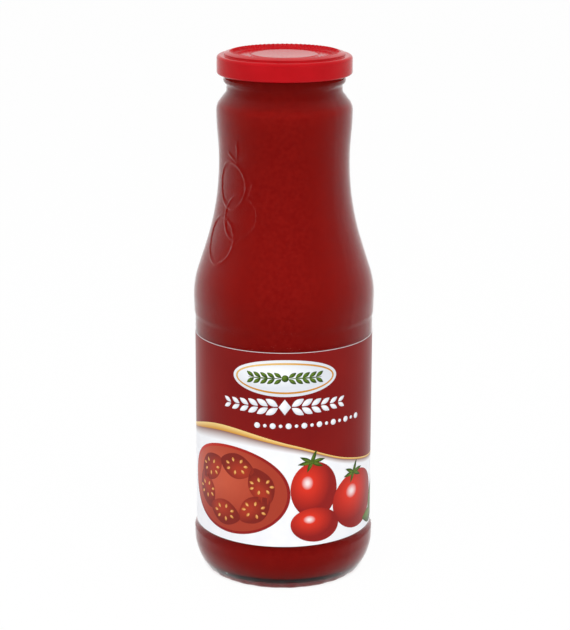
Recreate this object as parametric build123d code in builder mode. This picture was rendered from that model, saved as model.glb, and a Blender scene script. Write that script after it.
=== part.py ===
from build123d import *
import math
import os

# A passata bottle: a blown glass bottle with a push-up base and a lug finish, the passata that
# fills it, a pressed twist-off lid and a paper label that wraps round the recessed panel.
# The bottle stands on its base at z = 0, its axis is Z and the front of the label faces -Y.
# All sizes are in millimetres. Profiles are drawn as (radius, height).

# Glass: radii
panel_radius = 37.7  # recessed band that carries the label
heel_stand = 0.95  # how far the heel stands proud of the panel
lip_stand = 0.4  # the same for the lip just above the panel
shoulder_stand = 0.6  # and for the shoulder, the widest place above the label
waist_radius = 27.35
bulge_stand = 1.05  # how far the bulge above the waist stands proud of it
neck_radius = 24.1
bead_stand = 1.3  # the transfer bead, on the neck under the lid
finish_stand = 0.6  # the finish, the land between the threads
thread_stand = 1.65  # the thread ridges, on the finish
ring_undercut = 5.05  # from the heel in to the ring that the bottle stands on
ring_width = 2.2

# Glass: heights, each one counted up from the one before it
heel_height = 14.0
heel_band = 3.2  # height over which the heel keeps its full radius
panel_step = 2.0  # height of the slopes at both ends of the panel
panel_height = 93.0
shoulder_rise = 6.8
waist_rise = 57.4
bulge_rise = 21.2
collar_rise = 8.8
bead_rise = 3.8
finish_rise = 10.5  # from the middle of the bead up to the rim

# Glass: curves
panel_blend = 1.2
shoulder_arc = 36.5
shoulder_directness = 0.32
waist_share = 0.54  # the waist's arc takes this share of the rise up to the bulge
collar_arc = 6.5
collar_directness = 0.55
bead_round = 1.5
rim_outer_round = 1.2
rim_inner_round = 0.8

# Glass: wall and base
wall = 2.6
neck_wall = 2.9
push_up = 4.4  # how far the middle of the base is raised
push_up_edge = 2.8  # how far its edge is raised
push_up_slope = 2.6  # radial run from the ring up to that edge
base_thickness = 4.2
floor_edge = 5.2  # height of the floor where its corner begins
floor_corner = 11.0

# Glass: thread ridges
thread_count = 4
thread_arc = 56.0  # degrees that one ridge spans
thread_tip = 0.7  # height of a ridge at its crest
thread_root = 1.7  # height of a ridge where it meets the finish
thread_embed = 0.5  # how far the drawn ridge starts inside the finish

# Filling
headspace = 6.7  # from the level of the passata up to the rim

# Label
label_thickness = 0.1
label_lower_margin = 1.2  # bare panel under the label
label_upper_margin = 6.9
label_gap = 12.0  # bare glass between the label's two ends, at the back

# Lid
sheet = 0.25
lid_clearance = 1.5  # between the thread ridges and the skirt
riser_clearance = 0.15  # between the finish and the channel that caps it
plug_clearance = 0.55  # between the bore and the recessed panel
skirt_drop = 8.1  # from the rim down to the foot of the skirt
curl_radius = 1.0
ledge_drop = 0.3  # from the rim down to the ledge round the lid's top
riser_lift = 0.5  # from the rim up to the outer edge of the raised ring
crest_lift = 1.4  # from the rim up to the ring's crest
crest_slope = 1.2  # radial run from the recess up to the crest
crest_width = 0.5
recess_drop = 0.35  # from the rim down to the recessed panel
button_radius = 14.3
button_step = 0.45
button_run = 0.7
button_dish = 0.35
ledge_round = 1.3
press_round = 0.2
lug_arc = 17.0
lug_lead = 6.0  # degrees from a ridge's end to the start of its lug
lug_overlap = 0.55  # how far a lug reaches in under its ridge
lug_clearance = 0.3  # between a lug and the ridge over it

# Places that follow
heel_radius = panel_radius + heel_stand
shoulder_radius = panel_radius + shoulder_stand
bead_radius = neck_radius + bead_stand
finish_radius = neck_radius + finish_stand
thread_radius = finish_radius + thread_stand
bore_radius = neck_radius - neck_wall
ring_outer = heel_radius - ring_undercut
ring_inner = ring_outer - ring_width
panel_bottom = heel_height + heel_band + panel_step
panel_top = panel_bottom + panel_height
lip_height = panel_top + panel_step
shoulder_height = lip_height + shoulder_rise
waist_height = shoulder_height + waist_rise
bulge_height = waist_height + bulge_rise
neck_height = bulge_height + collar_rise
bead_height = neck_height + bead_rise
rim_height = bead_height + finish_rise
fill_height = rim_height - headspace
label_bottom = panel_bottom + label_lower_margin
label_height = panel_height - label_lower_margin - label_upper_margin
lid_radius = thread_radius + lid_clearance + sheet
lid_bottom = rim_height - skirt_drop
ledge_height = rim_height - ledge_drop
riser_radius = finish_radius + riser_clearance + sheet
recess_radius = bore_radius - plug_clearance - sheet
recess_height = rim_height - recess_drop
crest_radius = recess_radius + crest_slope
lug_height = 2 * curl_radius  # a lug is a stretch of the curl that is pressed inwards
lug_reach = thread_radius - lug_overlap
thread_bottom = lid_bottom + lug_height + lug_clearance


def flare(start, end, start_arc, directness):
    """Draws arc, straight and arc from start up to end, vertical at both ends.

    A directness of 0 leaves no straight, and one near 1 leaves hardly any arcs.
    """
    inward = start.X - end.X
    rise = end.Y - start.Y
    slope = math.atan2(inward, rise) * (2 - directness)
    fall = 1 - math.cos(slope)
    both_arcs = (rise * math.sin(slope) - inward * math.cos(slope)) / fall
    end_arc = both_arcs - start_arc
    straight_start = start + Vector(-start_arc * fall, start_arc * math.sin(slope))
    straight_end = end + Vector(end_arc * fall, -end_arc * math.sin(slope))
    TangentArc(start, straight_start, tangent=(0, 1))
    straight = Line(straight_start, straight_end)
    TangentArc(straight_end, end, tangent=straight % 1)


def upper_wall(inset, neck):
    """Draws the wall from the shoulder up to neck, moved in by inset, and returns where it starts."""
    shoulder = Vector(shoulder_radius - inset, shoulder_height)
    waist = Vector(waist_radius - inset, waist_height)
    bulge = waist + Vector(bulge_stand, bulge_rise)
    turn = waist + (bulge - waist) * waist_share
    flare(shoulder, waist, shoulder_arc - inset, shoulder_directness)
    waist_arc = TangentArc(waist, turn, tangent=(0, 1))
    TangentArc(turn, bulge, tangent=waist_arc % 1)
    flare(bulge, neck, collar_arc - inset, collar_directness)
    return shoulder


def outer_outline():
    """Draws the outside of the bottle as a closed half section, up to the rim."""
    edge = (ring_inner - push_up_slope, push_up_edge)
    heel = (heel_radius, heel_height)
    neck = Vector(neck_radius, neck_height)
    TangentArc((0, push_up), edge, tangent=(1, 0))
    Polyline(edge, (ring_inner, 0), (ring_outer, 0))
    TangentArc(heel, (ring_outer, 0), tangent=(0, -1))
    shoulder = upper_wall(0, neck)
    FilletPolyline(
        heel,
        (heel_radius, heel_height + heel_band),
        (panel_radius, panel_bottom),
        (panel_radius, panel_top),
        (panel_radius + lip_stand, lip_height),
        shoulder,
        radius=panel_blend,
    )
    FilletPolyline(
        neck,
        (neck_radius, bead_height),
        (finish_radius, bead_height),
        (finish_radius, rim_height),
        (0, rim_height),
        radius=[0, 0, rim_outer_round],
    )
    Line((0, rim_height), (0, push_up))


def cavity_outline(top):
    """Draws the inside of the bottle as a closed half section, up to the height top."""
    inside = panel_radius - wall
    corner_start = (inside - floor_corner, floor_edge)
    corner_end = (inside, floor_edge + floor_corner)
    lip = (inside + lip_stand, lip_height)
    neck = Vector(bore_radius, neck_height)
    Spline((0, push_up + base_thickness), corner_start, tangents=((1, 0), (1, 0)))
    TangentArc(corner_start, corner_end, tangent=(1, 0))
    shoulder = upper_wall(wall, neck)
    Polyline(corner_end, (inside, panel_top), lip, shoulder)
    Polyline(neck, (bore_radius, top), (0, top), (0, push_up + base_thickness))


# The glass bottle
with BuildPart() as glass_bottle:
    with BuildSketch(Plane.XZ):
        with BuildLine():
            outer_outline()
        make_face()
        with Locations((bead_radius - bead_round, bead_height)):
            Circle(bead_round)
        with BuildLine():
            cavity_outline(rim_height)
        make_face(mode=Mode.SUBTRACT)
    revolve(axis=Axis.Z)
    rim_edges = glass_bottle.edges().filter_by(GeomType.CIRCLE).group_by(Axis.Z)[-1]
    fillet(rim_edges.sort_by(SortBy.RADIUS)[0], rim_inner_round)
    for ridge in range(thread_count):
        with BuildSketch(Plane.XZ.rotated((0, 0, ridge * 360 / thread_count))):
            with BuildLine():
                Polyline(
                    (finish_radius - thread_embed, thread_bottom),
                    (thread_radius, thread_bottom),
                    (thread_radius, thread_bottom + thread_tip),
                    (finish_radius - thread_embed, thread_bottom + thread_root),
                    close=True,
                )
            make_face()
        revolve(axis=Axis.Z, revolution_arc=thread_arc)

# The passata, a solid from the floor of the bottle up to its level in the neck
with BuildPart() as passata:
    with BuildSketch(Plane.XZ):
        with BuildLine():
            cavity_outline(fill_height)
        make_face()
    revolve(axis=Axis.Z)

# The paper label, wrapped round the panel with its two ends at the back
with BuildPart() as label:
    with BuildSketch(Plane.XY.offset(label_bottom)):
        Circle(panel_radius + label_thickness)
        Circle(panel_radius, mode=Mode.SUBTRACT)
        with Locations((0, panel_radius)):
            Rectangle(label_gap, panel_radius, mode=Mode.SUBTRACT)
    extrude(amount=label_height)

# The lid: pressed sheet whose lined channel seats on the rim, a curl at its foot and four lugs
with BuildPart() as lid:
    with BuildSketch(Plane.XZ):
        with BuildLine():
            outside_edge = (button_radius - button_run, recess_height + button_step)
            TangentArc((0, outside_edge[1] - button_dish), outside_edge, tangent=(1, 0))
            FilletPolyline(
                outside_edge,
                (button_radius, recess_height),
                (recess_radius, recess_height),
                (crest_radius, rim_height + crest_lift),
                (crest_radius + crest_width, rim_height + crest_lift),
                (riser_radius, rim_height + riser_lift),
                (riser_radius, ledge_height),
                (lid_radius, ledge_height),
                (lid_radius, lid_bottom + curl_radius),
                radius=[press_round] * 6 + [ledge_round],
            )
            Polyline(
                (lid_radius, lid_bottom + curl_radius),
                (0, lid_bottom + curl_radius),
                (0, outside_edge[1] - button_dish),
            )
        make_face()
        with BuildLine():
            inside_edge = (button_radius - button_run + sheet, recess_height + button_step - sheet)
            TangentArc((0, inside_edge[1] - button_dish), inside_edge, tangent=(1, 0))
            FilletPolyline(
                inside_edge,
                (button_radius + sheet, recess_height - sheet),
                (recess_radius + sheet, recess_height - sheet),
                (recess_radius + sheet, rim_height),
                (riser_radius - sheet, rim_height),
                (riser_radius - sheet, ledge_height - sheet),
                (lid_radius - sheet, ledge_height - sheet),
                (lid_radius - sheet, lid_bottom),
                radius=[press_round] * 2 + [0] * 2 + [press_round] + [ledge_round - sheet],
            )
            Polyline(
                (lid_radius - sheet, lid_bottom), (0, lid_bottom), (0, inside_edge[1] - button_dish)
            )
        make_face(mode=Mode.SUBTRACT)
        with Locations((lid_radius - curl_radius, lid_bottom + curl_radius)):
            Circle(curl_radius)
    revolve(axis=Axis.Z)
    for lug in range(thread_count):
        with BuildSketch(Plane.XZ.rotated((0, 0, lug * 360 / thread_count + lug_lead))):
            with Locations((lug_reach, lid_bottom)):
                Rectangle(lid_radius - curl_radius - lug_reach, lug_height, align=(Align.MIN, Align.MIN))
        revolve(axis=Axis.Z, revolution_arc=lug_arc)

os.makedirs("parts", exist_ok=True)
for name, piece in {
    "glass_bottle": glass_bottle,
    "passata": passata,
    "label": label,
    "lid": lid,
}.items():
    piece.part.label = name
    export_step(piece.part, f"parts/{name}.step")
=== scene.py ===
import math

import bmesh
import bpy
from bpy.props import FloatProperty, FloatVectorProperty, IntProperty, PointerProperty
from mathutils import Matrix, Vector


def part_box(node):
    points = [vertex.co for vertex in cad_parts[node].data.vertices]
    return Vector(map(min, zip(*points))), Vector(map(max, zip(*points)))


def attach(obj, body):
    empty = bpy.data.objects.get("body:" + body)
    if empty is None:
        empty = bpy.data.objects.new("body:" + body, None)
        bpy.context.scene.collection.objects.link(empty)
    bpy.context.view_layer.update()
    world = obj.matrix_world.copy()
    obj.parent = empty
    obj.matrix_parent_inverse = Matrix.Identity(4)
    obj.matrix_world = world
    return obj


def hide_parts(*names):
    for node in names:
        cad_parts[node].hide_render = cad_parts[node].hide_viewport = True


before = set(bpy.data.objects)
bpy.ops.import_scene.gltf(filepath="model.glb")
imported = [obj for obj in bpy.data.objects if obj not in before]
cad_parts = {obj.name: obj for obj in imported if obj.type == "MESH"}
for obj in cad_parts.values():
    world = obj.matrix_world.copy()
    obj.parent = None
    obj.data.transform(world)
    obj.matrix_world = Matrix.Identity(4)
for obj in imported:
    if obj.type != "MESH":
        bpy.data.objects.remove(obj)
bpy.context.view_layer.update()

bl_info = {
    "name": "Passata bottle",
    "version": (1, 0, 0),
    "blender": (4, 5, 0),
    "location": "3D View > Sidebar > Passata",
    "description": "Builds a filled passata bottle with its lid, label and studio round its frame",
    "category": "Object",
}

# Lengths are metres, so sizes in millimetres are written as a number times MM.
# The bottle stands on z = 0, its axis is Z, and the front of the label faces -Y.
MM = 0.001
TURN = 2 * math.pi
BODY = "root"
LABEL_LOW, LABEL_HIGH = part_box("label")
PASSATA_LOW, PASSATA_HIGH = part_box("passata")
LID_LOW, LID_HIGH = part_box("lid")
LABEL_RADIUS = LABEL_HIGH.x
PAPER = 0.1 * MM
SECTION_ANGLE = math.radians(70)  # clear of the thread ridges and of the lid's lugs
SAME_POINT = 0.002 * MM
SHORTEST_EDGE = 0.04 * MM
NEAR_AXIS = 0.05 * MM


# ---------------------------------------------------------------- sizes and colours


def length(name, description, millimetres):
    """A size in metres that a user can change, with its default in millimetres."""
    return FloatProperty(
        name=name, description=description, default=millimetres * MM, unit="LENGTH", precision=5
    )


def measure(name, description, default, unit="NONE"):
    """A plain number that a user can change, in metres, radians or no unit."""
    return FloatProperty(name=name, description=description, default=default, unit=unit)


def colour(name, description, code):
    """A colour that a user can change, with its default as an sRGB hex code."""
    return FloatVectorProperty(
        name=name, description=description, default=linear(code), size=4, subtype="COLOR", min=0, max=1
    )


def linear(code):
    """The linear RGBA colour of an sRGB hex code such as "c81e1e"."""
    channels = [int(code[i : i + 2], 16) / 255 for i in (0, 2, 4)]
    return tuple(c / 12.92 if c <= 0.04045 else ((c + 0.055) / 1.055) ** 2.4 for c in channels) + (1.0,)


class BottleSettings(bpy.types.PropertyGroup):
    """The bottle's glass and what fills it."""

    segments: IntProperty(name="Segments", description="Steps of glass round the axis", default=192, min=48)
    relief: length("Relief", "How far the moulded fruit stands proud of the glass", 0.42)
    relief_line: length("Relief line", "Half the width of a moulded line", 0.9)
    stipple: length("Stipple", "Depth of the uneven stippling on the base ring", 0.45)
    seam: length("Seam", "How far the two mould seams stand proud", 0.05)
    fill_overlap: length("Fill overlap", "How far the passata reaches into the glass wall", 0.2)
    heel_overlap: length("Heel overlap", "How much further it reaches into the thick glass of the heel", 0.9)
    passata: colour("Passata", "Colour of the tomato puree", "861713")
    passata_dark: colour("Passata dark", "Colour of the darker pulp", "7c100e")


class LidSettings(bpy.types.PropertyGroup):
    """The pressed metal lid."""

    knurls: IntProperty(name="Knurls", description="Notches round the inside of the raised ring", default=72)
    knurl_steps: IntProperty(name="Steps in a knurl", description="Segments in each notch", default=6)
    knurl_depth: length("Knurl depth", "How deep each notch is", 0.85)
    lacquer: colour("Lacquer", "Colour of the red lacquer", "b40410")


class LabelSettings(bpy.types.PropertyGroup):
    """The paper label and its print."""

    column: length("Column", "Width of a flat column, so that print follows the curve", 1.5)
    ink: length("Ink step", "How far each printed layer stands on the one below", 0.02)
    paper: colour("Paper", "Coated white paper", "f4f5f8")
    red: colour("Red field", "Deep red of the upper field", "84120d")
    red_dark: colour("Red field, dark", "Darker red of the upper field", "72090a")
    gold: colour("Gold", "Ochre gold of the edging", "c98a2a")
    gold_light: colour("Gold, light", "Pale part of the edging", "f3d58a")
    tomato: colour("Tomato", "Red of the printed tomatoes", "d8301c")
    tomato_dark: colour("Tomato, dark", "Shaded side of the printed tomatoes", "8e1714")
    sauce: colour("Cut tomato", "Brick red of the cut tomato", "a8341f")
    flesh: colour("Flesh", "Paler flesh of the cut tomato", "c4553a")
    leaf: colour("Leaf", "Green of leaves and stalks", "5d7a22")
    leaf_dark: colour("Leaf, dark", "Shaded green", "33480f")
    line: colour("Line", "Grey of the ruled lines", "9aa0a4")


class StageSettings(bpy.types.PropertyGroup):
    """Camera, lamps and backdrop."""

    lens: measure("Lens", "Focal length in millimetres on a 36 mm sensor", 111.64)
    distance: measure("Distance", "From the axis to the camera", 0.8043, "LENGTH")
    height: measure("Height", "Camera height over the floor", 0.3310, "LENGTH")
    tilt: measure("Tilt", "How far the camera looks down", 0.2668, "ROTATION")
    roll: measure("Roll", "Turn about the view axis", 0.0031, "ROTATION")
    shift: measure("Shift", "Sideways shift, as a share of the frame", 0.0018)
    softbox: measure("Soft box", "Side of each square lamp", 0.8, "LENGTH")
    ambient: measure("Ambient", "Strength of the light from all round", 0.55)
    key: measure("Key", "Power of each lamp in watts", 5.2)


# ---------------------------------------------------------------- materials


def node(tree, kind, links=None, **settings):
    """Adds a shader node. settings are its properties, or its inputs by name, and links its linked inputs."""
    made = tree.nodes.new(kind)
    for key, value in settings.items():
        if hasattr(made, key):
            setattr(made, key, value)
        else:
            made.inputs[key.replace("_", " ")].default_value = value
    for key, source in (links or {}).items():
        tree.links.new(source, made.inputs[key])
    return made


def new_material(name):
    """An empty node material, its tree and its output node."""
    material = bpy.data.materials.new(name)
    material.use_nodes = True
    tree = material.node_tree
    tree.nodes.clear()
    return material, tree, node(tree, "ShaderNodeOutputMaterial")


def two_tone(name, base, dark, grain, contrast, roughness, specular, bump=0.0):
    """An opaque finish that drifts between two colours.

    grain is the size of the drift and bump its height, both in metres.
    A small contrast gives two crisp tones and a large one a soft drift.
    """
    material, tree, output = new_material(name)
    place = node(tree, "ShaderNodeTexCoord")
    noise = node(tree, "ShaderNodeTexNoise", {"Vector": place.outputs["Object"]}, Scale=1 / grain, Detail=4.0)
    blend = node(tree, "ShaderNodeMapRange", {"Value": noise.outputs["Fac"]})
    blend.inputs["From Min"].default_value = 0.5 - contrast
    blend.inputs["From Max"].default_value = 0.5 + contrast
    mix = node(tree, "ShaderNodeMix", {"Factor": blend.outputs["Result"]}, data_type="RGBA")
    mix.inputs[6].default_value = dark
    mix.inputs[7].default_value = base
    shader = node(tree, "ShaderNodeBsdfPrincipled", {"Base Color": mix.outputs[2]}, Roughness=roughness)
    shader.inputs["Specular IOR Level"].default_value = specular
    if bump:
        relief = node(tree, "ShaderNodeBump", {"Height": noise.outputs["Fac"]}, Distance=bump)
        tree.links.new(relief.outputs["Normal"], shader.inputs["Normal"])
    tree.links.new(shader.outputs["BSDF"], output.inputs["Surface"])
    return material


def blown_glass():
    """Soda-lime container glass, blown in a mould: colourless, smooth, and it lets lamps through."""
    material, tree, output = new_material("blown_soda_lime_glass")
    glass = node(tree, "ShaderNodeBsdfPrincipled", Roughness=0.0, IOR=1.5)
    glass.inputs["Base Color"].default_value = linear("fbfdfc")
    glass.inputs["Transmission Weight"].default_value = 1.0
    # Head-on reflection is nearly off, and the outline still mirrors the studio
    glass.inputs["Specular Tint"].default_value = (0.004, 0.004, 0.004, 1.0)
    clear = node(tree, "ShaderNodeBsdfTransparent", Color=linear("f6f8f7"))
    path = node(tree, "ShaderNodeLightPath")
    mix = node(
        tree,
        "ShaderNodeMixShader",
        {0: path.outputs["Is Shadow Ray"], 1: glass.outputs["BSDF"], 2: clear.outputs["BSDF"]},
    )
    tree.links.new(mix.outputs["Shader"], output.inputs["Surface"])
    return material


SHADE_OFFSET = (0.28, -0.3, 0)  # moves the lit spot to the motif's upper left


def shaded_ink(name, light, dark, shine=0.0, across=True):
    """Offset ink with a painted soft shade that runs over the motif's own UV map, and a pale shine spot.

    across shades a round motif from its lit upper left; otherwise the shade runs up the motif.
    """
    material, tree, output = new_material(name)
    place = node(tree, "ShaderNodeUVMap")
    spot = node(tree, "ShaderNodeMapping", {"Vector": place.outputs["UV"]}, vector_type="POINT")
    spot.inputs["Location"].default_value = SHADE_OFFSET if across else (0, 0, 0)
    if across:
        shape = node(tree, "ShaderNodeVectorMath", {0: spot.outputs["Vector"]}, operation="LENGTH")
        amount = shape.outputs["Value"]
    else:
        shape = node(tree, "ShaderNodeSeparateXYZ", {"Vector": spot.outputs["Vector"]})
        amount = shape.outputs["Y"]
    ramp = node(tree, "ShaderNodeValToRGB", {"Fac": amount})
    ramp.color_ramp.elements[0].color = light
    ramp.color_ramp.elements[0].position = 0.25 if across else 0.0
    ramp.color_ramp.elements[1].color = dark
    if shine:
        glint = ramp.color_ramp.elements.new(0.0)
        glint.color = tuple(c + (1 - c) * shine for c in light[:3]) + (1.0,)
        glint.position = 0.05
    shader = node(tree, "ShaderNodeBsdfPrincipled", {"Base Color": ramp.outputs["Color"]}, Roughness=0.3)
    shader.inputs["Specular IOR Level"].default_value = 0.15
    tree.links.new(shader.outputs["BSDF"], output.inputs["Surface"])
    return material


# ---------------------------------------------------------------- shaping


def finish_piece(bm, name, material, replaced=(), smooth=True):
    """Makes bm the mesh of a new piece that rides on the bottle."""
    mesh = bpy.data.meshes.new(name)
    for face in bm.faces:
        face.smooth = smooth
    bm.to_mesh(mesh)
    bm.free()
    piece = bpy.data.objects.new(name, mesh)
    bpy.context.scene.collection.objects.link(piece)
    mesh.materials.append(material)
    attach(piece, BODY)
    if replaced:
        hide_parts(*replaced)
    return piece


def half_section(name, longest):
    """A bmesh of the edges where a half plane through the axis cuts a node, none longer than longest."""
    bm = bmesh.new()
    bm.from_mesh(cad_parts[name].data)
    bmesh.ops.remove_doubles(bm, verts=bm.verts, dist=SAME_POINT)
    bmesh.ops.rotate(bm, verts=bm.verts, cent=(0, 0, 0), matrix=Matrix.Rotation(-SECTION_ANGLE, 3, "Z"))
    everything = bm.verts[:] + bm.edges[:] + bm.faces[:]
    cut = bmesh.ops.bisect_plane(
        bm, geom=everything, dist=0.0005 * MM, plane_co=(0, 0, 0), plane_no=(0, 1, 0)
    )
    kept = {item for item in cut["geom_cut"] if isinstance(item, bmesh.types.BMVert)}
    kept_edges = {item for item in cut["geom_cut"] if isinstance(item, bmesh.types.BMEdge)}
    bmesh.ops.delete(bm, geom=bm.faces[:], context="FACES_ONLY")
    bmesh.ops.delete(bm, geom=[e for e in bm.edges if e not in kept_edges], context="EDGES")
    bmesh.ops.delete(bm, geom=[v for v in bm.verts if v not in kept or v.co.x < -0.01 * MM], context="VERTS")
    bmesh.ops.remove_doubles(bm, verts=bm.verts, dist=SHORTEST_EDGE)
    for edge in bm.edges[:]:
        cuts = math.ceil(edge.calc_length() / longest) - 1
        if cuts > 0:
            bmesh.ops.subdivide_edges(bm, edges=[edge], cuts=cuts)
    for vert in bm.verts:
        vert.co.y = 0
        if vert.co.x < NEAR_AXIS:
            vert.co.x = 0
    return bm


def turn_on_lathe(bm, steps):
    """Spins a half section into a closed body whose faces point outwards."""
    bmesh.ops.spin(
        bm,
        geom=bm.verts[:] + bm.edges[:],
        cent=(0, 0, 0),
        axis=(0, 0, 1),
        dvec=(0, 0, 0),
        angle=TURN,
        steps=steps,
        use_merge=True,
        use_duplicate=False,
    )
    bmesh.ops.remove_doubles(bm, verts=bm.verts, dist=0.005 * MM)
    bmesh.ops.recalc_face_normals(bm, faces=bm.faces)


def polar(point):
    """Radius, angle from the front of the label and height of a point."""
    return math.hypot(point.x, point.y), math.atan2(point.x, -point.y), point.z


def bump_profile(distance, half_width):
    """A rounded ridge: 1 on its line and 0 from half_width away."""
    share = min(abs(distance) / half_width, 1.0)
    return 0.5 + 0.5 * math.cos(math.pi * share)


# Moulded fruit: each oval is (across, up, half width, half height, lean), measured from the motif's centre
RELIEF_OVALS = (
    (-2.0 * MM, 11.0 * MM, 8.0 * MM, 9.5 * MM, 0.15),
    (4.0 * MM, -1.5 * MM, 8.5 * MM, 9.0 * MM, -0.2),
    (-5.5 * MM, -12.0 * MM, 8.5 * MM, 9.5 * MM, 0.25),
)
# Leaf strokes: (across, up, direction, length)
RELIEF_STROKES = (
    (1.0 * MM, 21.0 * MM, 0.5, 7.0 * MM),
    (1.0 * MM, 21.0 * MM, 1.5, 8.0 * MM),
    (1.0 * MM, 21.0 * MM, 2.6, 6.0 * MM),
    (8.0 * MM, 8.0 * MM, 0.3, 6.0 * MM),
    (8.0 * MM, 8.0 * MM, 1.3, 5.0 * MM),
)
RELIEF_ANGLE = math.radians(-47)
RELIEF_HEIGHT = 160 * MM
RELIEF_HALF_WIDTH = 18 * MM
RELIEF_HALF_HEIGHT = 31 * MM
SEAM_ANGLE = math.radians(47)


def relief_at(across, up, half_width):
    """How much of the moulded fruit's height a point of the glass has, from 0 to 1."""
    best = 0.0
    for centre_x, centre_y, wide, tall, lean in RELIEF_OVALS:
        x, y = across - centre_x, up - centre_y
        x, y = x * math.cos(lean) + y * math.sin(lean), y * math.cos(lean) - x * math.sin(lean)
        reach = math.hypot(x / wide, y / tall)
        best = max(best, bump_profile((reach - 1) * min(wide, tall), half_width))
    for start_x, start_y, direction, long in RELIEF_STROKES:
        x, y = across - start_x, up - start_y
        along = x * math.cos(direction) + y * math.sin(direction)
        beside = y * math.cos(direction) - x * math.sin(direction)
        miss = math.hypot(beside, along - min(max(along, 0), long))
        best = max(best, bump_profile(miss, half_width))
    return best


def wrap(angle):
    """An angle brought to between minus half a turn and half a turn."""
    return (angle + math.pi) % TURN - math.pi


class PASSATA_OT_glass(bpy.types.Operator):
    """Blow the glass bottle with its moulded fruit and mould seams"""

    bl_idname = "passata.glass"
    bl_label = "Glass bottle"

    def execute(self, context):
        sizes = context.scene.passata_bottle
        bm = half_section("glass_bottle", 2.2 * MM)
        turn_on_lathe(bm, sizes.segments)
        self.refine(bm)
        self.press(bm, sizes)
        finish_piece(bm, "glass", blown_glass(), ["glass_bottle"])
        return {"FINISHED"}

    def refine(self, bm):
        """Divides the outer wall where the moulded fruit stands."""
        edges = set()
        for face in bm.faces:
            centre = face.calc_center_median()
            radius, angle, height = polar(centre)
            faces_out = face.normal.x * centre.x + face.normal.y * centre.y > 0
            across = [wrap(angle - RELIEF_ANGLE - turn) * radius for turn in (0, math.pi)]
            beside = min(map(abs, across)) < RELIEF_HALF_WIDTH
            level_with = abs(height - RELIEF_HEIGHT) < RELIEF_HALF_HEIGHT
            if faces_out and beside and level_with:
                edges.update(face.edges)
        bmesh.ops.subdivide_edges(bm, edges=list(edges), cuts=3, use_grid_fill=True)

    def press(self, bm, sizes):
        """Raises the moulded fruit and the two mould seams on the outer wall."""
        bm.normal_update()
        low, high = 3 * MM, LID_LOW.z - 6 * MM
        for vert in bm.verts:
            radius, angle, height = polar(vert.co)
            outward = Vector((vert.co.x, vert.co.y, 0))
            if height < 3.5 * MM and radius > 28 * MM:
                uneven = 0.5 + 0.25 * math.cos(31 * angle) + 0.25 * math.cos(19 * angle + 1)
                vert.co -= outward.normalized() * sizes.stipple * uneven * (1 - height / (3.5 * MM))
            if radius < 20 * MM or vert.normal.dot(outward) <= 0 or not low < height < high:
                continue
            rise = 0.0
            for turn in (0, math.pi):
                across = wrap(angle - RELIEF_ANGLE - turn) * radius
                up = height - RELIEF_HEIGHT
                if abs(across) < RELIEF_HALF_WIDTH and abs(up) < RELIEF_HALF_HEIGHT:
                    rise = max(rise, sizes.relief * relief_at(across, up, sizes.relief_line))
                on_label = LABEL_LOW.z - MM < height < LABEL_HIGH.z + MM
                if not on_label:
                    beside = wrap(angle - SEAM_ANGLE - turn) * radius
                    rise = max(rise, sizes.seam * bump_profile(beside, 1.3 * MM))
            vert.co += outward.normalized() * rise
        bm.normal_update()


class PASSATA_OT_filling(bpy.types.Operator):
    """Fill the bottle with passata, just into its wall so that no air gap shows"""

    bl_idname = "passata.filling"
    bl_label = "Passata"

    def execute(self, context):
        sizes = context.scene.passata_bottle
        bm = half_section("passata", 3 * MM)
        turn_on_lathe(bm, 128)
        bm.normal_update()
        for vert in bm.verts:
            if vert.co.z < PASSATA_HIGH.z - MM:
                heel = max(0.0, 1 - max(vert.co.z - PASSATA_LOW.z, 0) / (14 * MM))
                vert.co += vert.normal * (sizes.fill_overlap + sizes.heel_overlap * heel)
        # Tomato puree: wet, opaque, with a pulp of about a millimetre that makes it slightly uneven
        puree = two_tone(
            "wet_tomato_puree",
            sizes.passata,
            sizes.passata_dark,
            grain=1.6 * MM,
            contrast=0.16,
            roughness=0.45,
            specular=0.0,
        )
        finish_piece(bm, "passata_filling", puree, ["passata"])
        return {"FINISHED"}


class PASSATA_OT_lid(bpy.types.Operator):
    """Press the twist-off lid with its knurled ring"""

    bl_idname = "passata.lid"
    bl_label = "Lid"

    def execute(self, context):
        sizes = context.scene.passata_lid
        bm = half_section("lid", 1.2 * MM)
        turn_on_lathe(bm, sizes.knurls * sizes.knurl_steps)
        ring_foot = LID_HIGH.z - 1.2 * MM
        for vert in bm.verts:
            radius, angle, height = polar(vert.co)
            if height > ring_foot and radius < 22.9 * MM:
                notch = 0.5 + 0.5 * math.cos(angle * sizes.knurls)
                inner = max(0.0, 1 - abs(radius - 21.6 * MM) / (1.2 * MM))
                vert.co += Vector((vert.co.x, vert.co.y, 0)).normalized() * sizes.knurl_depth * notch * inner
                vert.co.z -= 0.6 * sizes.knurl_depth * notch * inner
        bm.normal_update()
        # Tinplate with a stoved red lacquer: smooth and glossy, with a faint orange peel
        lacquer = two_tone(
            "stoved_red_lacquer_on_tinplate",
            sizes.lacquer,
            linear("ae020d"),
            grain=9 * MM,
            contrast=0.12,
            roughness=0.16,
            specular=0.12,
            bump=0.01 * MM,
        )
        finish_piece(bm, "twist_off_lid", lacquer, ["lid"])
        return {"FINISHED"}


# ---------------------------------------------------------------- label print
# Print is drawn flat: x is the distance round the bottle from the front, y the height, z the layer.

PLAQUE = (0.6 * MM, 94.4 * MM)
PLAQUE_HALF_WIDTH = 22.5 * MM
PLAQUE_HALF_HEIGHT = 7.9 * MM
GARLAND = (0.5 * MM, 82.0 * MM)
BEADS = (12.0 * MM, 73.8 * MM)
BEAD_PITCH = 3.3 * MM
CUT_TOMATO = (-24 * MM, 43.5 * MM)
CUT_HALF_WIDTH = 27.0 * MM
CUT_HALF_HEIGHT = 19.5 * MM
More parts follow.
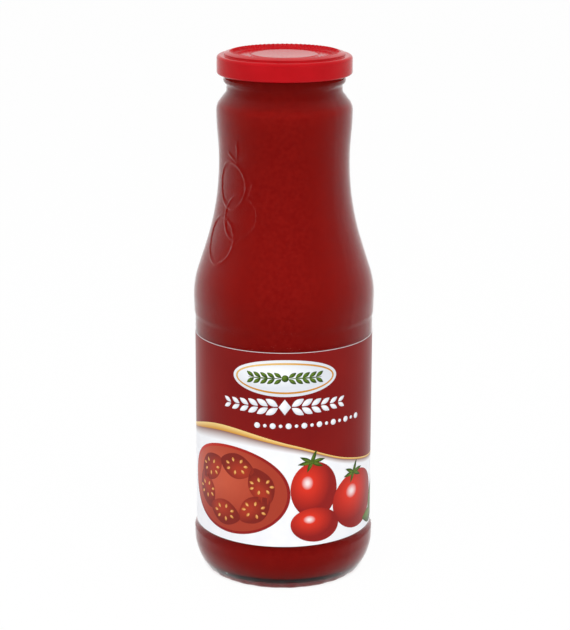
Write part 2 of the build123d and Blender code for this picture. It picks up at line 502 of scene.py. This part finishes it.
# Whole tomatoes, the lowest layer first: across, up, half width, half height and lean
WHOLE_TOMATOES = (
    (13.5 * MM, 45.0 * MM, 10.5 * MM, 12.5 * MM, 0.1),
    (36.5 * MM, 36.5 * MM, 14.5 * MM, 13.0 * MM, -0.1),
    (14.0 * MM, 29.5 * MM, 11.0 * MM, 7.6 * MM, -0.1),
)
CALYXES = ((12.0 * MM, 57.6 * MM), (34.0 * MM, 49.0 * MM))
# Basil leaves: across, up and lean
BASIL_LEAVES = ((54 * MM, 33 * MM, 0.9), (57 * MM, 26 * MM, 0.2), (50 * MM, 24.6 * MM, -0.1))
RULED_PANELS = ((-104 * MM, -66 * MM), (70 * MM, 104 * MM))


def cut_columns(bm, width):
    """Cuts flat print into upright columns, so that it follows the curve when it is wrapped."""
    left = min(vert.co.x for vert in bm.verts)
    right = max(vert.co.x for vert in bm.verts)
    for column in range(math.ceil(left / width), math.floor(right / width) + 1):
        geometry = bm.verts[:] + bm.edges[:] + bm.faces[:]
        bmesh.ops.bisect_plane(
            bm, geom=geometry, dist=0.001 * MM, plane_co=(column * width, 0, 0), plane_no=(1, 0, 0)
        )


def wrap_print(bm):
    """Wraps flat print round the bottle's label panel."""
    for vert in bm.verts:
        around, up, lift = vert.co
        radius = LABEL_RADIUS + lift
        angle = around / LABEL_RADIUS
        vert.co = (radius * math.sin(angle), -radius * math.cos(angle), up)


def add_disc(bm, centre, wide, tall, layer, lean=0.0, point=0.0, segments=40):
    """Adds a flat oval with its own UV map from -1 to 1. point draws its two ends out to a leaf's tips."""
    made = bmesh.ops.create_circle(bm, cap_ends=True, segments=segments, radius=1)["verts"]
    uv = bm.loops.layers.uv.verify()
    for face in {face for vert in made for face in vert.link_faces}:
        for loop in face.loops:
            loop[uv].uv = (loop.vert.co.x, loop.vert.co.y)
    for vert in made:
        taper = 1 - point * vert.co.x**2
        vert.co = Vector((vert.co.x * wide, vert.co.y * taper * tall, 0))
    bmesh.ops.rotate(bm, verts=made, cent=(0, 0, 0), matrix=Matrix.Rotation(lean, 3, "Z"))
    bmesh.ops.translate(bm, verts=made, vec=(centre[0], centre[1], layer))
    return made


def add_strip(bm, left, right, bottom, top, layer, columns=120):
    """Adds a flat strip between two height functions, with its own UV map from 0 to 1."""
    made = bmesh.ops.create_grid(bm, x_segments=columns, y_segments=1, size=0.5)["verts"]
    uv = bm.loops.layers.uv.verify()
    for face in {face for vert in made for face in vert.link_faces}:
        for loop in face.loops:
            loop[uv].uv = (loop.vert.co.x + 0.5, loop.vert.co.y + 0.5)
    for vert in made:
        around = left + (right - left) * (vert.co.x + 0.5)
        share = vert.co.y + 0.5
        vert.co = Vector((around, bottom(around) * (1 - share) + top(around) * share, layer))
    return made


def finish_print(bm, name, material, sizes, thickness=None):
    """Gives flat print its thickness, cuts it into columns and wraps it round the bottle."""
    cut_columns(bm, sizes.column)
    for face in bm.faces:
        if face.normal.z < 0:
            face.normal_flip()
    bm.normal_update()
    depth = thickness or 0.6 * sizes.ink
    skin = bmesh.ops.extrude_face_region(bm, geom=bm.faces[:], use_keep_orig=True)
    raised = [item for item in skin["geom"] if isinstance(item, bmesh.types.BMVert)]
    bmesh.ops.translate(bm, verts=raised, vec=(0, 0, depth))
    bmesh.ops.recalc_face_normals(bm, faces=bm.faces)
    wrap_print(bm)
    return finish_piece(bm, name, material, smooth=False)


HALF_LABEL = (math.pi * LABEL_RADIUS) - 6 * MM
WAVE = (
    (-113 * MM, 50 * MM),
    (-58 * MM, 62.5 * MM),
    (-27 * MM, 68.6 * MM),
    (4 * MM, 64.2 * MM),
    (30 * MM, 55.6 * MM),
    (55 * MM, 51.2 * MM),
    (113 * MM, 54 * MM),
)


def wave_slope(index):
    """Slope of the wave at one of its points, from the points beside it."""
    (x0, y0), (x1, y1) = WAVE[max(index - 1, 0)], WAVE[min(index + 1, len(WAVE) - 1)]
    return (y1 - y0) / (x1 - x0)


def wave(around):
    """Height of the lower edge of the red field, a smooth curve through the points of WAVE."""
    after = next((index for index in range(1, len(WAVE)) if around <= WAVE[index][0]), len(WAVE) - 1)
    (x0, y0), (x1, y1) = WAVE[after - 1], WAVE[after]
    leave, arrive = wave_slope(after - 1) * (x1 - x0), wave_slope(after) * (x1 - x0)
    t = min(max((around - x0) / (x1 - x0), 0), 1)
    eased = t * t * (3 - 2 * t)
    return y0 + (y1 - y0) * eased + leave * t * (1 - t) ** 2 - arrive * t * t * (1 - t)


def band(around):
    """Thickness of the gold edging, thickest on the left."""
    return 0.7 * MM + 2.0 * MM * math.exp(-(((around + 30 * MM) / (28 * MM)) ** 2))


def level(height):
    """A height function that is the same all round."""
    return lambda around: height


class PASSATA_OT_label(bpy.types.Operator):
    """Wrap the paper label and print its fields of colour"""

    bl_idname = "passata.label"
    bl_label = "Label and its fields"

    def execute(self, context):
        sizes = context.scene.passata_label
        bottom, top = LABEL_LOW.z, LABEL_HIGH.z
        # Wet-glued label paper, coated and varnished on its printed side
        paper = two_tone(
            "varnished_label_paper",
            sizes.paper,
            linear("eef0f5"),
            grain=6 * MM,
            contrast=0.2,
            roughness=0.3,
            specular=0.15,
        )
        bm = bmesh.new()
        add_strip(bm, -HALF_LABEL, HALF_LABEL, level(bottom), level(top), -PAPER + 0.02 * MM)
        piece = finish_print(bm, "label_paper", paper, sizes, thickness=PAPER - 0.02 * MM)
        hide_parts("label")
        red = two_tone(
            "deep_red_offset_ink",
            sizes.red,
            sizes.red_dark,
            grain=30 * MM,
            contrast=0.25,
            roughness=0.28,
            specular=0.1,
        )
        bm = bmesh.new()
        edge = HALF_LABEL - 0.4 * MM
        add_strip(bm, -edge, edge, wave, level(top - 0.16 * MM), 0)
        finish_print(bm, "red_field", red, sizes)
        self.shadow(sizes, edge)
        gold = shaded_ink("gold_offset_ink", sizes.gold, sizes.gold_light, across=False)
        bm = bmesh.new()
        add_strip(bm, -edge, edge, wave, lambda a: wave(a) + band(a), sizes.ink)
        finish_print(bm, "gold_edging", gold, sizes)
        return {"FINISHED"}

    def shadow(self, sizes, edge):
        """Prints the soft brown shade under the red field's edge."""
        shade = shaded_ink("soft_shade_ink", sizes.paper, linear("8d6358"), across=False)
        bm = bmesh.new()
        add_strip(bm, -edge, edge, lambda a: wave(a) - 1.2 * band(a) - 1.2 * MM, wave, sizes.ink)
        finish_print(bm, "soft_shade", shade, sizes)


class PASSATA_OT_ornament(bpy.types.Operator):
    """Print the plain oval plaque, the leaf garland and the row of beads"""

    bl_idname = "passata.ornament"
    bl_label = "Plaque and garland"

    def execute(self, context):
        sizes = context.scene.passata_label
        ink = sizes.ink
        white = shaded_ink("opaque_white_ink", sizes.paper, linear("d9dde4"), across=True)
        gold = shaded_ink("gold_line_ink", sizes.gold_light, sizes.gold, across=True)
        green = shaded_ink("dark_green_ink", sizes.leaf, sizes.leaf_dark, across=True)
        self.plaque(sizes, white, gold, green)
        bm = bmesh.new()
        add_disc(bm, GARLAND, 2.6 * MM, 3.4 * MM, ink, segments=4)
        for side in (-1, 1):
            for leaf in range(6):
                across = side * (5.4 + 4.0 * leaf) * MM
                small = 1 - 0.07 * leaf
                for up in (-1, 1):
                    spot = (GARLAND[0] + across, GARLAND[1] + up * 1.9 * MM * small)
                    lean = side * up * 0.55
                    add_disc(bm, spot, 2.9 * MM * small, 1.35 * MM * small, ink, lean, 0.6, 24)
        for bead in range(-7, 8):
            big = 1.25 * MM if bead % 2 else 0.75 * MM
            add_disc(bm, (BEADS[0] + bead * BEAD_PITCH, BEADS[1]), big, big, ink, segments=20)
        finish_print(bm, "garland_and_beads", white, sizes)
        return {"FINISHED"}

    def plaque(self, sizes, white, gold, green):
        """Prints an oval plaque with a gold ring and a small laurel."""
        centre = PLAQUE
        steps = ((1.0, white), (0.945, gold), (0.91, white))
        for number, (share, ink) in enumerate(steps):
            bm = bmesh.new()
            shrink = PLAQUE_HALF_WIDTH * (1 - share)
            layer = (1 + number) * sizes.ink
            add_disc(bm, centre, PLAQUE_HALF_WIDTH - shrink, PLAQUE_HALF_HEIGHT - shrink, layer, segments=72)
            finish_print(bm, f"plaque_{number}", ink, sizes)
        bm = bmesh.new()
        layer = 4 * sizes.ink
        for side in (-1, 1):
            for leaf in range(5):
                out = (3.0 + 2.9 * leaf) * MM
                for up in (-1, 1):
                    spot = (centre[0] + side * out, centre[1] + up * 1.35 * MM)
                    add_disc(bm, spot, 1.9 * MM, 0.85 * MM, layer, side * up * 0.6, 0.6, 20)
            stem = (centre[0] + side * 8.6 * MM, centre[1])
            add_disc(bm, stem, 7.0 * MM, 0.28 * MM, layer, 0, 0.3, 24)
        add_disc(bm, centre, 1.5 * MM, 1.5 * MM, layer, segments=24)
        finish_print(bm, "plaque_laurel", green, sizes)


class PASSATA_OT_motifs(bpy.types.Operator):
    """Print the tomatoes, the cut tomato and the basil leaves"""

    bl_idname = "passata.motifs"
    bl_label = "Fruit and leaves"

    def execute(self, context):
        sizes = context.scene.passata_label
        ink = sizes.ink
        skin = shaded_ink("tomato_red_ink", sizes.tomato, sizes.tomato_dark, shine=0.75)
        brick = shaded_ink("brick_red_ink", sizes.sauce, linear("7d1f15"))
        flesh = shaded_ink("tomato_flesh_ink", sizes.flesh, linear("a63a26"))
        seed = shaded_ink("pale_seed_ink", linear("e9b36a"), linear("c9823c"))
        green = shaded_ink("leaf_green_ink", sizes.leaf, sizes.leaf_dark)
        self.cut_tomato(sizes, skin, brick, flesh, seed)
        bm = bmesh.new()
        for number, (across, up, wide, tall, lean) in enumerate(WHOLE_TOMATOES):
            add_disc(bm, (across, up), wide, tall, (1 + number) * ink, lean)
        finish_print(bm, "printed_tomatoes", skin, sizes)
        bm = bmesh.new()
        layer = (1 + len(WHOLE_TOMATOES)) * ink
        for crown in CALYXES:
            for leaf in range(6):
                turn = leaf * math.pi / 3 + 0.3
                spot = (crown[0] + 2.9 * MM * math.cos(turn), crown[1] + 1.5 * MM * math.sin(turn))
                lean = math.atan2(math.sin(turn), 2 * math.cos(turn))
                add_disc(bm, spot, 3.3 * MM, 0.85 * MM, layer, lean, 0.75, 20)
            add_disc(bm, (crown[0] + 0.9 * MM, crown[1] + 2.6 * MM), 2.8 * MM, 0.6 * MM, layer, 1.1, 0.3, 16)
        for across, up, lean in BASIL_LEAVES:
            add_disc(bm, (across, up), 8.0 * MM, 3.4 * MM, layer, lean, 0.65, 32)
        finish_print(bm, "printed_leaves", green, sizes)
        self.ruled_panel(sizes)
        return {"FINISHED"}

    def cut_tomato(self, sizes, skin, brick, flesh, seed):
        """Prints a large round tomato cut across: skin, flesh, chambers and seeds."""
        ink = sizes.ink
        centre, wide, tall = CUT_TOMATO, CUT_HALF_WIDTH, CUT_HALF_HEIGHT
        bm = bmesh.new()
        add_disc(bm, centre, wide, tall, ink, segments=96)
        finish_print(bm, "cut_tomato_skin", skin, sizes)
        bm = bmesh.new()
        add_disc(bm, centre, wide - 1.3 * MM, tall - 1.2 * MM, 2 * ink, segments=96)
        finish_print(bm, "cut_tomato_flesh", flesh, sizes)
        chambers, seeds = bmesh.new(), bmesh.new()
        count = 6
        for chamber in range(count):
            turn = TURN * (chamber + 0.3) / count
            spot = (centre[0] + 0.57 * wide * math.cos(turn), centre[1] + 0.57 * tall * math.sin(turn))
            lean = math.atan2(math.cos(turn) * tall, -math.sin(turn) * wide)
            add_disc(chambers, spot, 8.4 * MM, 5.6 * MM, 3 * ink, lean, 0.35, 36)
            for grain in range(7):
                swing = TURN * grain / 7 + chamber
                place = (spot[0] + 4.6 * MM * math.cos(swing), spot[1] + 2.9 * MM * math.sin(swing))
                add_disc(seeds, place, 1.0 * MM, 0.6 * MM, 4 * ink, swing, 0.4, 14)
        finish_print(chambers, "cut_tomato_chambers", brick, sizes)
        finish_print(seeds, "cut_tomato_seeds", seed, sizes)

    def ruled_panel(self, sizes):
        """Prints plain ruled lines on the label's two back panels."""
        grey = shaded_ink("grey_line_ink", sizes.line, sizes.line)
        bm = bmesh.new()
        for left, right in RULED_PANELS:
            for row in range(8):
                height = (25 + 3.4 * row) * MM
                add_strip(bm, left, right, level(height), level(height + 0.25 * MM), sizes.ink, columns=26)
        finish_print(bm, "ruled_lines", grey, sizes)


# ---------------------------------------------------------------- stage


class PASSATA_OT_stage(bpy.types.Operator):
    """Set up the floor, the lamps, the world and the camera"""

    bl_idname = "passata.stage"
    bl_label = "Studio"

    def execute(self, context):
        settings = context.scene.passata_stage
        self.floor()
        self.world(settings)
        self.lamps(settings)
        self.camera(settings)
        context.scene.view_settings.view_transform = "Standard"
        return {"FINISHED"}

    def background_rays(self, tree):
        """1 for rays that should see the plain white background, 0 for those that light the bottle."""
        path = node(tree, "ShaderNodeLightPath")
        first = node(
            tree, "ShaderNodeMath", {0: path.outputs["Is Camera Ray"], 1: path.outputs["Is Glossy Ray"]},
            operation="MAXIMUM",
        )
        both = node(
            tree, "ShaderNodeMath", {0: first.outputs[0], 1: path.outputs["Is Transmission Ray"]},
            operation="MAXIMUM",
        )
        return both.outputs[0]

    def floor(self):
        """A wide white floor that shows almost pure white and keeps a faint shadow."""
        material, tree, output = new_material("matt_white_card")
        shown = self.background_rays(tree)
        # Painted contact shadow: in a disc under the bottle the card's white glow is switched off, so the
        # thick glass of the base looks down into shade; inside the disc the plain card still shows its real
        # shade
        place = node(tree, "ShaderNodeNewGeometry")
        away = node(tree, "ShaderNodeVectorMath", {0: place.outputs["Position"]}, operation="LENGTH")
        glow_outside_shadow_disc = node(tree, "ShaderNodeMapRange", {"Value": away.outputs["Value"]})
        glow_outside_shadow_disc.inputs["From Min"].default_value = 30 * MM
        glow_outside_shadow_disc.inputs["From Max"].default_value = 35 * MM
        glow_outside_shadow_disc.inputs["To Max"].default_value = 0.975
        share = node(
            tree, "ShaderNodeMath", {0: shown, 1: glow_outside_shadow_disc.outputs["Result"]}, operation="MULTIPLY"
        )
        card = node(tree, "ShaderNodeBsdfDiffuse", Color=linear("f4f4f4"))
        white = node(tree, "ShaderNodeEmission", Color=(1, 1, 1, 1), Strength=1.0)
        mix = node(
            tree,
            "ShaderNodeMixShader",
            {0: share.outputs[0], 1: card.outputs["BSDF"], 2: white.outputs["Emission"]},
        )
        tree.links.new(mix.outputs["Shader"], output.inputs["Surface"])
        bm = bmesh.new()
        bmesh.ops.create_circle(bm, cap_ends=True, segments=96, radius=4)
        mesh = bpy.data.meshes.new("floor")
        bm.to_mesh(mesh)
        bm.free()
        floor = bpy.data.objects.new("floor", mesh)
        bpy.context.scene.collection.objects.link(floor)
        mesh.materials.append(material)

    def world(self, settings):
        """White all round for the camera and for reflections, and a softer light on the bottle."""
        world = bpy.data.worlds.new("white_studio")
        bpy.context.scene.world = world
        world.use_nodes = True
        tree = world.node_tree
        tree.nodes.clear()
        strength = node(tree, "ShaderNodeMapRange", {"Value": self.background_rays(tree)})
        strength.inputs["To Min"].default_value = settings.ambient
        strength.inputs["To Max"].default_value = 1.0
        sky = node(tree, "ShaderNodeBackground", {"Strength": strength.outputs["Result"]}, Color=(1, 1, 1, 1))
        output = node(tree, "ShaderNodeOutputWorld")
        tree.links.new(sky.outputs["Background"], output.inputs["Surface"])

    def lamps(self, settings):
        """Two large soft boxes in front and one overhead."""
        target = Vector((0, 0, 0.11))
        places = (
            ("left_softbox", (-0.9, -1.0, 0.75), 1.0),
            ("right_softbox", (0.9, -1.0, 0.75), 1.0),
            ("top_softbox", (0, -0.2, 1.3), 1.4),
        )
        for name, place, share in places:
            lamp = bpy.data.lights.new(name, "AREA")
            lamp.shape = "SQUARE"
            lamp.size = settings.softbox
            lamp.energy = settings.key * share
            holder = bpy.data.objects.new(name, lamp)
            holder.visible_glossy = False
            holder.location = place
            holder.rotation_euler = (target - Vector(place)).to_track_quat("-Z", "Y").to_euler()
            bpy.context.scene.collection.objects.link(holder)

    def camera(self, settings):
        """A long lens in front of the bottle, looking a little down."""
        lens = bpy.data.cameras.new("camera")
        lens.sensor_width = 36
        lens.lens = settings.lens
        lens.shift_x = settings.shift
        holder = bpy.data.objects.new("camera", lens)
        holder.location = (0, -settings.distance, settings.height)
        look = Matrix.Rotation(math.pi / 2 - settings.tilt, 4, "X") @ Matrix.Rotation(settings.roll, 4, "Z")
        holder.rotation_euler = look.to_euler()
        bpy.context.scene.collection.objects.link(holder)
        bpy.context.scene.camera = holder


class PASSATA_PT_panel(bpy.types.Panel):
    """The steps that build the bottle"""

    bl_idname = "PASSATA_PT_panel"
    bl_label = "Passata bottle"
    bl_space_type = "VIEW_3D"
    bl_region_type = "UI"
    bl_category = "Passata"

    def draw(self, context):
        for operator in OPERATORS:
            self.layout.operator(operator.bl_idname)
        for group in SETTINGS:
            settings = getattr(context.scene, group)
            for name in settings.__annotations__:
                self.layout.prop(settings, name)


OPERATORS = (
    PASSATA_OT_glass,
    PASSATA_OT_filling,
    PASSATA_OT_lid,
    PASSATA_OT_label,
    PASSATA_OT_ornament,
    PASSATA_OT_motifs,
    PASSATA_OT_stage,
)
SETTINGS = {
    "passata_bottle": BottleSettings,
    "passata_lid": LidSettings,
    "passata_label": LabelSettings,
    "passata_stage": StageSettings,
}


def register():
    for group in (*SETTINGS.values(), *OPERATORS, PASSATA_PT_panel):
        bpy.utils.register_class(group)
    for name, group in SETTINGS.items():
        setattr(bpy.types.Scene, name, PointerProperty(type=group))


def unregister():
    for name in SETTINGS:
        delattr(bpy.types.Scene, name)
    for group in reversed((*SETTINGS.values(), *OPERATORS, PASSATA_PT_panel)):
        bpy.utils.unregister_class(group)


def main():
    """Builds every piece in order."""
    register()
    bpy.ops.passata.glass()
    bpy.ops.passata.filling()
    bpy.ops.passata.lid()
    bpy.ops.passata.label()
    bpy.ops.passata.ornament()
    bpy.ops.passata.motifs()
    bpy.ops.passata.stage()


if __name__ == "__main__":
    main()
